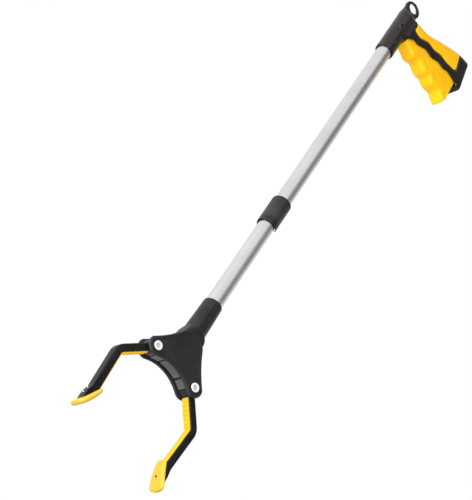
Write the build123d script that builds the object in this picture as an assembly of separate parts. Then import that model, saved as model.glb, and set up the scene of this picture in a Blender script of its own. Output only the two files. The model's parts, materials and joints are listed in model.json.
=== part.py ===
from build123d import *
import math
import os

# Folding reacher grabber, in millimetres.
# Origin: centre of the hanging eye at the end of the handle.
# The tube lies along X. The jaws are toward -X, the grip hangs toward -Z, and XZ is the plane of symmetry.

# ---------------------------------------------------------------- driving dimensions
TUBE_R = 9.75
TUBE_BORE_R = 8.55

MOUTH_X = -98.0
COLLAR_BACK_X = -403.5
COLLAR_LENGTH = 41.0
COLLAR_OVER_JOINT = 9.0
LOWER_TUBE_SEEN = 133.0
HEAD_LENGTH = 98.0
PIVOT_HALF_SPACING = 31.0

COLLAR_FRONT_X = COLLAR_BACK_X - COLLAR_LENGTH
FOLD_X = COLLAR_FRONT_X + COLLAR_OVER_JOINT
HEAD_TOP_X = COLLAR_FRONT_X - LOWER_TUBE_SEEN
PIVOT_X = HEAD_TOP_X - HEAD_LENGTH

# handle
HOUSING_R = 12.2
HOUSING_WALL = 2.2
TUBE_END_X = -66.0
TUBE_RIVET_X = -85.0
RIB_X = -35.0
GRIP_HALF_WIDTH = 14.0
CAVITY_HALF_WIDTH = 10.7
CAVITY_FLOOR_Z = -109.5
PAD_THICKNESS = 1.6
BACK_DEPTH = 13.0
GAP = 0.05

# hanging eye
EYE_R = 7.3
EYE_HALF_THICKNESS = 1.9
EYE_TIP_X = 9.5

# trigger: it turns about the pivot and pulls the cable nipple
TRIGGER_X = -54.0
TRIGGER_Z = 3.4
TRIGGER_PIN_R = 2.2
TRIGGER_DEG = 18.0
TRIGGER_LEVER = 10.0
TRIGGER_HALF_WIDTH = 10.4
BLADE_HALF_WIDTH = 4.0
CABLE_Z = TRIGGER_Z - TRIGGER_LEVER
CABLE_R = 0.75
NIPPLE_R = 1.8
NIPPLE_X = TRIGGER_X - TRIGGER_LEVER * math.sin(math.radians(TRIGGER_DEG / 2))
CABLE_TRAVEL = 2 * TRIGGER_LEVER * math.sin(math.radians(TRIGGER_DEG / 2))

# fold hinge and locking collar
HINGE_Z = -10.2
HINGE_PIN_R = 0.8
KNUCKLE_R = 1.7
KNUCKLE_HALF_WIDTH = 4.0
BLOCK_R = 9.7
PLUG_R = 8.9
PLUG_RELIEF = 3.0
PLUG_SEEN = 8.5
SPIGOT_R = 8.5
SPIGOT_LENGTH = 24.0
COLLAR_R = 12.1
COLLAR_BORE_R = 10.8
COLLAR_GUIDE_R = 9.8
COLLAR_GUIDE_LENGTH = 9.0
NOTCH_HALF_WIDTH = 4.6

# head
SOCKET_LENGTH = 45.5
SOCKET_TOP_R = 11.2
SOCKET_END_R = 12.4
PLATE_OUT = 11.0
PLATE_IN = 8.0
LOBE_R = 11.0
FRONT_ARCH_R = 48.0
ARCH_APEX = -2.2
FLANK_SAG = 2.6
WALL = 2.6
RIVET_R = 2.4
RIVET_HEAD_R = 5.4
RIVET_SEAT_R = 6.3
BOSS_R = 5.0
SOCKET_PIN_X = HEAD_TOP_X - 10.0

# jaws, given closed: distances out from the centre line and forward from the pivot
JAW_DEG = 30.0
JAW_HALF_WIDTH = 5.4
ARM_THICKNESS = 8.8
HUB_R = 8.6
CRANK = CABLE_TRAVEL / (2 * math.sin(math.radians(JAW_DEG / 2)))
CRANK_PIN_R = 1.4
CRANK_SLOT_R = 1.55
ELBOW = (40.6, 44.0)
KNEE = (11.4, 87.5)
PAD_BASE_HALF_WIDTH = 6.9
PAD_END_HALF_WIDTH = 11.0
LINER_DEPTH = 2.6

# yoke
YOKE_HALF_THICKNESS = 2.0
CROSSBAR_BACK = 13.5
CROSSBAR_FRONT = 7.5
STEM_R = 3.0
PLUNGER_R = 8.4
PLUNGER_X = HEAD_TOP_X - 28.0
PLUNGER_LENGTH = 10.0
HEAD_RIB_X = HEAD_TOP_X - SOCKET_LENGTH - 6.0


# ---------------------------------------------------------------- helpers
def rod(x0, x1, r, y=0.0, z=0.0):
    """Round bar along X from x0 to x1."""
    return Pos((x0 + x1) / 2, y, z) * Rot(0, 90, 0) * Cylinder(r, abs(x1 - x0))


def pin(x, z, r, y0, y1):
    """Round bar along Y from y0 to y1."""
    return Pos(x, (y0 + y1) / 2, z) * Rot(90, 0, 0) * Cylinder(r, abs(y1 - y0))


def block(x0, x1, y0, y1, z0, z1):
    """Rectangular block between two corners."""
    centre = Pos((x0 + x1) / 2, (y0 + y1) / 2, (z0 + z1) / 2)
    return centre * Box(abs(x1 - x0), abs(y1 - y0), abs(z1 - z0))


def slab(face, y0, y1):
    """Solid between y0 and y1 with the given outline, drawn as (x, z)."""
    return extrude(Plane.XZ.offset(-y1) * face, amount=y1 - y0)


def outline(points):
    """Straight-sided face through the points."""
    return make_face(Polyline(*points, close=True))


def waved(curve, rest):
    """Face with one smooth side through the curve's points and straight sides through the rest."""
    path = Spline(*curve) + Polyline(curve[-1], *rest, curve[0])
    return make_face(path)


def half(solid, side):
    """The part of a solid on one side of the plane of symmetry: side is -1 or +1."""
    reach = 60
    return solid & block(-900, 60, 0, side * reach, -200, 200)


def solids(*parts):
    """Group of separate solids in one node."""
    return Compound(children=[s for p in parts for s in p.solids()])


def mirrored_z(shape):
    return mirror(shape, about=Plane.XY)


# ---------------------------------------------------------------- grip outlines, as (x, z)
GRIP_FRONT = [
    (-62.0, -8.0),
    (-55.5, -13.6),
    (-49.6, -20.5),
    (-48.4, -29.0),
    (-41.0, -42.5),
    (-41.2, -55.0),
    (-35.6, -67.0),
    (-35.4, -78.0),
    (-31.4, -87.5),
    (-33.6, -105.5),
]
PAD_FRONT = [
    (-35.6, -13.8),
    (-39.0, -17.4),
    (-38.8, -27.0),
    (-31.0, -40.5),
    (-30.4, -52.4),
    (-25.4, -66.0),
    (-25.2, -77.0),
    (-20.2, -92.4),
    (-16.4, -95.4),
]
GRIP_BACK = [(-17.6, -9.0), (-17.2, -24.0), (-13.6, -36.0), (0.5, -60.0), (14.2, -87.0), (18.2, -105.0)]
BASE_FRONT = [(-36.4, -115.0), (-37.2, -107.0)]
TRIGGER_FRONT = [
    (-62.6, -13.2),
    (-65.8, -26.0),
    (-68.8, -33.8),
    (-64.4, -44.5),
    (-69.2, -59.0),
    (-66.4, -68.0),
    (-70.2, -78.0),
    (-67.8, -90.5),
    (-73.6, -104.5),
]


def back_x(z):
    """Where the back of the grip is at a height."""
    for (x0, z0), (x1, z1) in zip(GRIP_BACK, GRIP_BACK[1:]):
        if z1 <= z <= z0:
            return x0 + (x1 - x0) * (z - z0) / (z1 - z0)
    return GRIP_BACK[0][0] if z > GRIP_BACK[0][1] else GRIP_BACK[-1][0] + 3


def grip_form(inset):
    """The +Y half of the grip, with a flat side and a rounded back, pulled in by the inset."""
    half_width = GRIP_HALF_WIDTH - inset
    front = -80.0
    back_r = (half_width**2 + BACK_DEPTH**2) / (2 * BACK_DEPTH)
    turn = math.atan2(half_width, back_r - BACK_DEPTH)
    sections = []
    for z in (-4.0, -22.0, -38.0, -60.0, -86.0, -120.0):
        back = back_x(z) - inset
        centre = back - back_r
        middle = (centre + back_r * math.cos(turn / 2), back_r * math.sin(turn / 2))
        arc = ThreePointArc((back, 0), middle, (back - BACK_DEPTH, half_width))
        path = arc + Polyline((back - BACK_DEPTH, half_width), (front, half_width), (front, 0), (back, 0))
        sections.append(Pos(0, 0, z) * make_face(path))
    return loft(sections, ruled=True)


# ---------------------------------------------------------------- handle
def housing_form():
    """Barrel of the handle, flattened to the eye at its end."""
    barrel = rod(MOUTH_X, EYE_TIP_X + 1, HOUSING_R)
    top_view = outline(
        [
            (MOUTH_X, -HOUSING_R),
            (-25, -HOUSING_R),
            (-14, -8.6),
            (-8, -EYE_HALF_THICKNESS),
            (EYE_TIP_X + 1, -EYE_HALF_THICKNESS),
            (EYE_TIP_X + 1, EYE_HALF_THICKNESS),
            (-8, EYE_HALF_THICKNESS),
            (-14, 8.6),
            (-25, HOUSING_R),
            (MOUTH_X, HOUSING_R),
        ]
    )
    side_view = make_face(
        Polyline((-3, HOUSING_R), (MOUTH_X, HOUSING_R), (MOUTH_X, -HOUSING_R), (-3, -HOUSING_R))
        + Spline((-3, -HOUSING_R), (EYE_TIP_X, 0), (-3, HOUSING_R), tangents=((1, 0), (-1, 0)))
    )
    return barrel & extrude(Pos(0, 0, -30) * top_view, 60) & slab(side_view, -30, 30)


def grip_profile():
    """Side view of the black grip with its base."""
    rest = [BASE_FRONT[1], BASE_FRONT[0]] + GRIP_BACK[::-1] + [(-17.6, 0), (-62.0, 0)]
    return waved(GRIP_FRONT, rest)


def pad_region():
    """Side view of the soft pad's area."""
    rest = [(14.3, -87.3), (60, -87.3), (60, -13.8)]
    return waved(PAD_FRONT, rest)


def trigger_sweep():
    """Room inside the grip for the trigger to swing back."""
    top = [(-75, -14.1), (-54, -14.5), (-46, -12.8), (-40, -8.9), (-38, -8.9)]
    back = [(-36.5, -16), (-34.3, -24), (-23.6, -34.5), (-11, -55.5), (-1.2, -73), (2.6, -91)]
    floor = [(2.6, CAVITY_FLOOR_Z), (-75, CAVITY_FLOOR_Z)]
    cavity = slab(outline(top + back + floor), -CAVITY_HALF_WIDTH, CAVITY_HALF_WIDTH)
    slot = block(-64, RIB_X - 0.5, -4.6, 4.6, -18, -4)
    return cavity + slot


SCREWS = [(-13.5, 0.0, 1.3), (7.5, -97.5, 1.3), (-28.0, -112.2, 1.1)]


def handle_half():
    """The +Y half of the handle, before the holes that belong to one side only."""
    body = half(housing_form(), 1) + (slab(grip_profile(), -1, 20) & grip_form(0))
    body -= slab(pad_region(), -1, 20) & (grip_form(-6) - grip_form(PAD_THICKNESS))
    body -= rod(MOUTH_X - 1, TUBE_END_X, TUBE_R + GAP)
    body -= rod(TUBE_END_X, RIB_X - 2, HOUSING_R - HOUSING_WALL)
    body -= rod(RIB_X, -22, HOUSING_R - HOUSING_WALL)
    body -= trigger_sweep()
    body -= pin(0, 0, EYE_R, -10, 10)
    body -= pin(TRIGGER_X, TRIGGER_Z, TRIGGER_PIN_R + GAP, -20, 20)
    return body - pin(TUBE_RIVET_X, 0, 1.25, -20, 20)


def handle_shells():
    right = handle_half()
    left = mirror(right, about=Plane.XZ)
    left -= pin(TRIGGER_X, TRIGGER_Z, 3.9, -20, -10.4)
    for x, z, r in SCREWS:
        left -= pin(x, z, r + GAP, -4, 0)
        right -= pin(x, z, r + GAP, 0, 20)
        right -= pin(x, z, 2 * r + 0.1, 6, 20)
    return left, right


def rear_grip_pad():
    pad = slab(pad_region(), -1, 20) & (grip_form(0) - grip_form(PAD_THICKNESS - GAP))
    pad -= block(-100, 60, -30, 30, -13.85, 40)
    return pad + mirror(pad, about=Plane.XZ)


def shell_screws():
    screws = [pin(x, z, r, -3.5, 7) + pin(x, z, 2 * r, 6.1, 7.6) for x, z, r in SCREWS]
    return solids(*screws)


def upper_tube():
    front = FOLD_X + 6.0
    tube = rod(front, TUBE_END_X - 0.2, TUBE_R) - rod(front - 1, TUBE_END_X + 1, TUBE_BORE_R)
    return tube - pin(TUBE_RIVET_X, 0, 1.25, -20, 20)


def tube_rivet():
    return pin(TUBE_RIVET_X, 0, 1.2, -12.4, 12.4)


def trigger_pivot_pin():
    return pin(TRIGGER_X, TRIGGER_Z, TRIGGER_PIN_R, -11, 11.2) + pin(TRIGGER_X, TRIGGER_Z, 3.4, -11.4, -10.45)


def coil(x0, x1, z, r, wire, turns):
    """Open coil spring along X."""
    path = Helix(pitch=(x1 - x0) / turns, height=x1 - x0, radius=r, center=(x0, 0, z), direction=(1, 0, 0))
    start = Plane(origin=path @ 0, z_dir=path % 0)
    return sweep(start * Circle(wire), path=path)


def trigger_spring():
    return coil(NIPPLE_X + 7.8, RIB_X - 2.6, CABLE_Z, 2.5, 0.35, 6)


# ---------------------------------------------------------------- trigger and pull cable
def trigger():
    top_r = 18.6
    top = [(x, TRIGGER_Z - math.sqrt(top_r**2 - (x - TRIGGER_X) ** 2)) for x in (-47.0, -51.0, -55.0, -60.0)]
    foot = [(-68.0, -107.2), (-37.5, -107.0), (-30.5, -104.0)]
    inside = [(-28.5, -86.0), (-32.5, -66.0), (-38.0, -42.0), (-45.0, -28.0)]
    face = waved(TRIGGER_FRONT, foot + inside + top)
    body = slab(face, -TRIGGER_HALF_WIDTH, TRIGGER_HALF_WIDTH)
    front_edges = [e for e in body.edges() if e.geom_type == GeomType.BSPLINE]
    body = fillet(front_edges, 5.0)
    hollow = outline([(-56.0, -28.0), (-57.0, -60.0), (-58.0, -100.0), (-20, -100), (-20, -28)])
    body -= slab(hollow, -8.2, -1.4) + slab(hollow, 1.4, 8.2)
    blade = outline([(-58.2, TRIGGER_Z), (-60.0, -16.0), (-47.5, -18.0), (-50.2, TRIGGER_Z)])
    body += slab(blade, -BLADE_HALF_WIDTH, BLADE_HALF_WIDTH)
    body += pin(TRIGGER_X, TRIGGER_Z, 4.2, -BLADE_HALF_WIDTH, BLADE_HALF_WIDTH)
    body -= pin(TRIGGER_X, TRIGGER_Z, TRIGGER_PIN_R + GAP, -6, 6)
    body -= block(NIPPLE_X - 2.4, NIPPLE_X + 2.4, -2.6, 2.6, CABLE_Z - 2.3, CABLE_Z + 2.3)
    return body - block(-66, NIPPLE_X, -1.2, 1.2, CABLE_Z - 2.7, CABLE_Z + 2.7)


def cable_nipple():
    barrel = pin(NIPPLE_X, CABLE_Z, NIPPLE_R, -2.4, 2.4)
    return barrel - rod(NIPPLE_X - 5, NIPPLE_X + 5, CABLE_R + 0.01, 0, CABLE_Z)


def cable_upper():
    return rod(FOLD_X + 0.3, NIPPLE_X + 1.6, CABLE_R, 0, CABLE_Z)


# ---------------------------------------------------------------- fold hinge and collar
def cable_way(x0, x1):
    return rod(x0, x1, 1.7, 0, CABLE_Z)


def upper_hinge_block():
    spigot_x = FOLD_X + 5.9
    body = rod(FOLD_X + 0.15, spigot_x + 0.05, BLOCK_R) + rod(spigot_x, spigot_x + SPIGOT_LENGTH, SPIGOT_R)
    for side in (-1, 1):
        inner = side * 1.1
        outer = side * (KNUCKLE_HALF_WIDTH + 0.4)
        body -= pin(FOLD_X, HINGE_Z, KNUCKLE_R + 0.4, min(inner, outer), max(inner, outer))
    body += block(FOLD_X + 0.15, FOLD_X + 3.2, -1.1, 1.1, HINGE_Z, -8.0)
    body += pin(FOLD_X, HINGE_Z, KNUCKLE_R, -1.1, 1.1)
    body -= pin(FOLD_X, HINGE_Z, HINGE_PIN_R + GAP, -6, 6)
    return body - cable_way(FOLD_X - 3, FOLD_X + 40)


def lower_hinge_block():
    end = FOLD_X - PLUG_SEEN
    plug = rod(FOLD_X - 0.15, end - 0.05, PLUG_R) & rod(FOLD_X, end - 1, PLUG_R, 0, PLUG_RELIEF)
    body = plug + rod(end, end - SPIGOT_LENGTH, SPIGOT_R)
    body -= block(FOLD_X - 2.2, FOLD_X + 2, -1.4, 1.4, -14, -6)
    for side in (-1, 1):
        inner = side * 1.3
        outer = side * KNUCKLE_HALF_WIDTH
        low, high = min(inner, outer), max(inner, outer)
        body += pin(FOLD_X, HINGE_Z, KNUCKLE_R, low, high)
        body += block(FOLD_X - 3.2, FOLD_X - 0.15, low, high, HINGE_Z, -4.5)
    body -= pin(FOLD_X, HINGE_Z, HINGE_PIN_R + GAP, -6, 6)
    return body - cable_way(FOLD_X + 3, FOLD_X - 50)


def hinge_pin():
    return pin(FOLD_X, HINGE_Z, HINGE_PIN_R, -KNUCKLE_HALF_WIDTH, KNUCKLE_HALF_WIDTH)


def lock_collar():
    body = rod(COLLAR_FRONT_X, COLLAR_BACK_X, COLLAR_R)
    rims = [e for e in body.edges() if e.geom_type == GeomType.CIRCLE]
    body = fillet(rims, 0.9)
    body -= rod(COLLAR_FRONT_X - 1, COLLAR_BACK_X - COLLAR_GUIDE_LENGTH, COLLAR_BORE_R)
    body -= rod(COLLAR_BACK_X - COLLAR_GUIDE_LENGTH - 1, COLLAR_BACK_X + 1, COLLAR_GUIDE_R)
    return body - block(COLLAR_FRONT_X - 1, FOLD_X + 2.4, -NOTCH_HALF_WIDTH, NOTCH_HALF_WIDTH, -20, -7)


def lower_tube():
    front = HEAD_TOP_X - 40.0
    back = FOLD_X - PLUG_SEEN
    tube = rod(front, back - 0.1, TUBE_R) - rod(front - 1, back + 1, TUBE_BORE_R)
    return tube - pin(SOCKET_PIN_X, 0, 1.25, -20, 20)


# ---------------------------------------------------------------- head
def head_profile(inset=0.0):
    """Side view of the head plate: two lobes, hollowed flanks and an arched front, pulled in by the inset."""
    neck_x = HEAD_TOP_X - SOCKET_LENGTH - 3
    neck_z = SOCKET_END_R + 0.4
    dx = neck_x - PIVOT_X
    dz = neck_z - PIVOT_HALF_SPACING
    reach = math.hypot(dx, dz)
    to_neck = math.atan2(dz, dx)
    normal = to_neck + math.acos(LOBE_R / reach)
    lobe_r = LOBE_R - inset
    lobe = (PIVOT_X + lobe_r * math.cos(normal), PIVOT_HALF_SPACING + lobe_r * math.sin(normal))
    neck = (neck_x - inset * math.cos(normal), neck_z - inset * math.sin(normal))
    middle = (
        (neck[0] + lobe[0]) / 2 - FLANK_SAG * math.cos(normal),
        (neck[1] + lobe[1]) / 2 - FLANK_SAG * math.sin(normal),
    )
    top = (neck_x + 9, neck_z - 0.4 - inset)
    quarter = waved([neck, middle, lobe], [(PIVOT_X, PIVOT_HALF_SPACING), (PIVOT_X, 0), (top[0], 0), top])
    plate = quarter + mirror(quarter, about=Plane.XZ)
    for side in (-1, 1):
        plate += Pos(PIVOT_X, side * PIVOT_HALF_SPACING) * Circle(lobe_r)
    nose_x = PIVOT_X - LOBE_R + 1.5
    plate += outline([(PIVOT_X, 26), (nose_x, 26), (nose_x, -26), (PIVOT_X, -26)])
    return plate - Pos(PIVOT_X + ARCH_APEX - FRONT_ARCH_R, 0) * Circle(FRONT_ARCH_R + inset)


def head_form():
    profile = head_profile()
    plates = slab(profile, -PLATE_OUT, PLATE_OUT)
    cone = Pos(HEAD_TOP_X - SOCKET_LENGTH / 2, 0, 0) * Rot(0, 90, 0)
    socket = cone * Cone(SOCKET_END_R, SOCKET_TOP_R, SOCKET_LENGTH)
    socket += rod(HEAD_TOP_X - SOCKET_LENGTH - 4, HEAD_TOP_X - SOCKET_LENGTH + 0.01, SOCKET_END_R)
    room = slab(head_profile(WALL), -PLATE_IN, PLATE_IN)
    room += block(PIVOT_X - 20, PIVOT_X + 11.5, -PLATE_IN, PLATE_IN, -60, 60)
    body = plates + socket - room
    body -= rod(HEAD_TOP_X + 1, HEAD_TOP_X - 41, TUBE_R + GAP)
    body -= rod(HEAD_TOP_X - 40, HEAD_RIB_X + 2, PLUNGER_R - 2)
    body += rod(HEAD_RIB_X, HEAD_RIB_X + 2, PLATE_IN + 0.8) - rod(HEAD_RIB_X - 2, HEAD_RIB_X + 4, STEM_R + 0.1)
    for side in (-1, 1):
        for face in (-1, 1):
            boss = sorted((face * (JAW_HALF_WIDTH + 0.1), face * (PLATE_IN + 0.5)))
            body += pin(PIVOT_X, side * PIVOT_HALF_SPACING, BOSS_R, boss[0], boss[1])
        body -= pin(PIVOT_X, side * PIVOT_HALF_SPACING, RIVET_R + GAP, -20, 20)
        for face in (-1, 1):
            seat = sorted((face * (PLATE_OUT - 0.9), face * 20))
            body -= pin(PIVOT_X, side * PIVOT_HALF_SPACING, RIVET_SEAT_R, seat[0], seat[1])
    body -= pin(SOCKET_PIN_X, 0, 1.25, -20, 20)
    return body


def head_bridge():
    """Curved web between the face plates, set back from their arched front, in three fields."""
    front_x = PIVOT_X + ARCH_APEX + 1.3
    outer = Pos(front_x - FRONT_ARCH_R, 0) * Circle(FRONT_ARCH_R)
    inner = Pos(front_x + 2.0 - FRONT_ARCH_R, 0) * Circle(FRONT_ARCH_R)
    half_width = PLATE_IN - GAP
    web = slab(inner - outer, -half_width, half_width)
    web &= block(PIVOT_X - 10, PIVOT_X + 8, -half_width, half_width, -23, 23)
    for z in (-13.0, 13.0):
        web -= block(front_x - 8, front_x - 0.6, -7, 7, z - 1.0, z + 1.0)
    return web


def jaw_rivets():
    rivets = []
    for side in (-1, 1):
        z = side * PIVOT_HALF_SPACING
        body = pin(PIVOT_X, z, RIVET_R, -PLATE_OUT, PLATE_OUT)
        for face in (-1, 1):
            ends = sorted((face * (PLATE_OUT - 0.85), face * (PLATE_OUT + 1.0)))
            body += pin(PIVOT_X, z, RIVET_HEAD_R, ends[0], ends[1])
            dimple = sorted((face * (PLATE_OUT + 0.4), face * 20))
            body -= pin(PIVOT_X, z, 2.2, dimple[0], dimple[1])
        rivets.append(body)
    return solids(*rivets)


def socket_pin():
    return pin(SOCKET_PIN_X, 0, 1.2, -11.2, 11.2)


# ---------------------------------------------------------------- yoke that joins the cable to both jaws
CRANK_Z = PIVOT_HALF_SPACING - CRANK * (1 + math.cos(math.radians(JAW_DEG / 2))) / 2
CRANK_X = PIVOT_X - CABLE_TRAVEL / 2


def yoke():
    t = YOKE_HALF_THICKNESS
    bar = block(PIVOT_X + CROSSBAR_FRONT, PIVOT_X + CROSSBAR_BACK, -t, t, -CRANK_Z - 2.8, CRANK_Z + 2.8)
    body = bar + rod(PIVOT_X + CROSSBAR_BACK - 2, PLUNGER_X, STEM_R)
    body += rod(PLUNGER_X, PLUNGER_X + PLUNGER_LENGTH, PLUNGER_R)
    for side in (-1, 1):
        z = side * CRANK_Z
        body += block(CRANK_X, PIVOT_X + CROSSBAR_FRONT + 1, -t, t, z - 2.6, z + 2.6)
        body += pin(CRANK_X, z, 2.6, -t, t)
        body -= pin(CRANK_X, z, CRANK_PIN_R + 0.01, -6, 6)
    return body - rod(PLUNGER_X + 2, PLUNGER_X + 20, CABLE_R + 0.01, 0, CABLE_Z)


def yoke_pins():
    pins = [pin(CRANK_X, side * CRANK_Z, CRANK_PIN_R, -5.0, 5.0) for side in (-1, 1)]
    return solids(*pins)


def cable_lower():
    return rod(PLUNGER_X + 2.1, FOLD_X - CABLE_TRAVEL - 0.5, CABLE_R, 0, CABLE_Z)


def return_spring():
    return coil(PIVOT_X + CROSSBAR_BACK + 0.6, HEAD_RIB_X - 0.6, 0, 4.3, 0.45, 6)


# ---------------------------------------------------------------- jaws, built shut and then turned open
def shut(out, forward):
    """Point of the upper jaw when the jaws are shut."""
    return (PIVOT_X - forward, out)


def opened(shape):
    """Turns the upper jaw about its rivet from shut to its resting, open place."""
    there = Pos(PIVOT_X, 0, PIVOT_HALF_SPACING)
    back = Pos(-PIVOT_X, 0, -PIVOT_HALF_SPACING)
    return there * Rot(0, JAW_DEG, 0) * back * shape


def stretch_edges(a, b, near, far):
    """Four corners of a strip beside the stretch from a to b, from near to far on its inner side."""
    length = math.hypot(b[0] - a[0], b[1] - a[1])
    nx = -(b[1] - a[1]) / length
    nz = (b[0] - a[0]) / length
    if nz > 0:
        nx, nz = -nx, -nz
    return [
        (a[0] + nx * near, a[1] + nz * near),
        (b[0] + nx * near, b[1] + nz * near),
        (b[0] + nx * far, b[1] + nz * far),
        (a[0] + nx * far, a[1] + nz * far),
    ]


def along(a, b, t):
    return (a[0] + (b[0] - a[0]) * t, a[1] + (b[1] - a[1]) * t)


def pad_profile():
    """Side view of the upper fingertip, shut: curved back, curved inner face, blunt end."""
    back = Spline(shut(8.4, 84.0), shut(6.6, 93.0), shut(4.9, 104.0), shut(4.6, 115.0))
    face = Spline(shut(0.6, 115.2), shut(0.5, 104.0), shut(1.7, 92.0), shut(4.4, 81.8))
    return make_face(back + Line(back @ 1, face @ 0) + face + Line(face @ 1, back @ 0))


def pad_plan():
    """Top view of the fingertip: it widens and ends round."""
    x0 = PIVOT_X - 80.0
    wide_x = PIVOT_X - 109.5
    end_x = PIVOT_X - 115.5
    corner = ThreePointArc((wide_x, PAD_END_HALF_WIDTH), (end_x, 0), (wide_x, -PAD_END_HALF_WIDTH))
    base = [(x0, -PAD_BASE_HALF_WIDTH), (x0, PAD_BASE_HALF_WIDTH)]
    sides = Polyline((wide_x, -PAD_END_HALF_WIDTH), *base, (wide_x, PAD_END_HALF_WIDTH))
    return make_face(corner + sides)


def tip_pad():
    return slab(pad_profile(), -12, 12) & extrude(Pos(0, 0, -30) * pad_plan(), 60)


def crank_slots(x, z, lean):
    """Slot across both cheeks for the yoke pin, long toward the pivot."""
    place = Pos(x, 0, z) * Rot(0, lean, 0)
    slot = Box(2 * CRANK_SLOT_R, 14, 0.9)
    for end in (-0.45, 0.45):
        slot += Pos(0, 0, end) * Rot(90, 0, 0) * Cylinder(CRANK_SLOT_R, 14)
    return place * slot


def jaw_arm():
    pivot = shut(PIVOT_HALF_SPACING, 0)
    line = FilletPolyline(pivot, shut(*ELBOW), shut(*KNEE), radius=7.0)
    body = slab(trace(line, ARM_THICKNESS), -JAW_HALF_WIDTH, JAW_HALF_WIDTH)
    back = [shut(7.7, 85.1), shut(15.1, 89.9), shut(13.0, 97.0), shut(6.6, 110.0)]
    nose = outline(back + [shut(3.0, 110.0), shut(4.4, 90.0)])
    body += slab(nose, -JAW_HALF_WIDTH, JAW_HALF_WIDTH)
    body += pin(PIVOT_X, PIVOT_HALF_SPACING, HUB_R, -JAW_HALF_WIDTH, JAW_HALF_WIDTH)
    lean = JAW_DEG / 2
    lug_x = PIVOT_X + CRANK * math.sin(math.radians(lean))
    lug_z = PIVOT_HALF_SPACING - CRANK * math.cos(math.radians(lean))
    body += pin(lug_x, lug_z, 3.8, -JAW_HALF_WIDTH, JAW_HALF_WIDTH)
    gap = YOKE_HALF_THICKNESS + 0.3
    room = pin(PIVOT_X, PIVOT_HALF_SPACING, 13.5, -gap, gap)
    room -= pin(PIVOT_X, PIVOT_HALF_SPACING, 3.2, -gap, gap)
    near_x, far_x = PIVOT_X + 7, PIVOT_X - 40
    solid_side = outline([(far_x, 70), (far_x, 33), (PIVOT_X - 7, 33), (near_x, 36), (near_x, 70)])
    body -= room - slab(solid_side, -gap, gap)
    body -= crank_slots(lug_x, lug_z, -lean)
    return body - pin(PIVOT_X, PIVOT_HALF_SPACING, RIVET_R + GAP, -20, 20) - tip_pad()


def jaw_liner():
    """Soft strip on the inside of the arm, thick before the elbow and thin after it."""
    pivot = shut(PIVOT_HALF_SPACING, 0)
    start = along(pivot, shut(*ELBOW), 0.3)
    end = along(shut(*ELBOW), shut(*KNEE), 0.93)
    near = ARM_THICKNESS / 2 + GAP
    strip = outline(stretch_edges(start, shut(*ELBOW), 0, near + LINER_DEPTH))
    strip += outline(stretch_edges(shut(*ELBOW), end, 0, near + 1.2))
    body = slab(strip, -4.7, 4.7)
    line = FilletPolyline(pivot, shut(*ELBOW), shut(*KNEE), radius=7.0)
    body -= slab(trace(line, 2 * near), -10, 10)
    outer = outline([shut(31, 0), shut(40.6, 44), shut(11.4, 87.5), shut(80, 90), shut(80, 0)])
    return body - slab(outer, -10, 10)


def tip_pins():
    """Two short pins that hold the fingertip to the arm, their ends standing out of its back."""
    pins = []
    for forward, out in ((94.0, 15.0), (101.0, 12.2)):
        low = shut(out - 9.0, forward - 3.4)
        high = shut(out, forward + 0.6)
        middle = ((low[0] + high[0]) / 2, (low[1] + high[1]) / 2)
        tilt = math.degrees(math.atan2(high[0] - low[0], high[1] - low[1]))
        length = math.hypot(high[0] - low[0], high[1] - low[1])
        pins.append(Pos(middle[0], 0, middle[1]) * Rot(0, tilt, 0) * Cylinder(0.9, length))
    return solids(*pins)


def tip_magnet():
    x, z = shut(1.55, 99.5)
    return Pos(x, 0, z) * Cylinder(2.0, 1.8)


# ---------------------------------------------------------------- all pieces
def write(name, shape):
    export_step(shape, f"parts/{name}.step")


def write_jaws():
    pins = tip_pins()
    arm = jaw_arm() - pins
    pad = tip_pad() - pins
    magnet = tip_magnet()
    pieces = {"jaw_arm": arm, "jaw_liner": jaw_liner() - tip_pad(), "tip_pad": pad, "tip_pins": pins}
    for name, shape in pieces.items():
        write(f"upper_{name}", opened(shape))
    pieces["tip_pad"] = pad - magnet
    for name, shape in pieces.items():
        write(f"lower_{name}", mirrored_z(opened(shape)))
    write("lower_tip_magnet", mirrored_z(opened(magnet)))


def main():
    os.makedirs("parts", exist_ok=True)
    left, right = handle_shells()
    write("handle_shell_left", left)
    write("handle_shell_right", right)
    head = head_form()
    write("head_shell_left", half(head, -1))
    write("head_shell_right", half(head, 1))
    write("rear_grip_pad", rear_grip_pad())
    write("shell_screws", shell_screws())
    write("upper_tube", upper_tube())
    write("tube_rivet", tube_rivet())
    write("trigger_pivot_pin", trigger_pivot_pin())
    write("trigger_spring", trigger_spring())
    write("trigger", trigger())
    write("cable_nipple", cable_nipple())
    write("cable_upper", cable_upper())
    write("upper_hinge_block", upper_hinge_block())
    write("lower_hinge_block", lower_hinge_block())
    write("hinge_pin", hinge_pin())
    write("lock_collar", lock_collar())
    write("lower_tube", lower_tube())
    write("socket_pin", socket_pin())
    write("head_bridge", head_bridge())
    write("jaw_rivets", jaw_rivets())
    write("yoke", yoke())
    write("yoke_pins", yoke_pins())
    write("cable_lower", cable_lower())
    write("return_spring", return_spring())
    write_jaws()


main()
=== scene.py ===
import json
import math

import bmesh
import bpy
import numpy as np
from mathutils import Matrix, Vector


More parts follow.
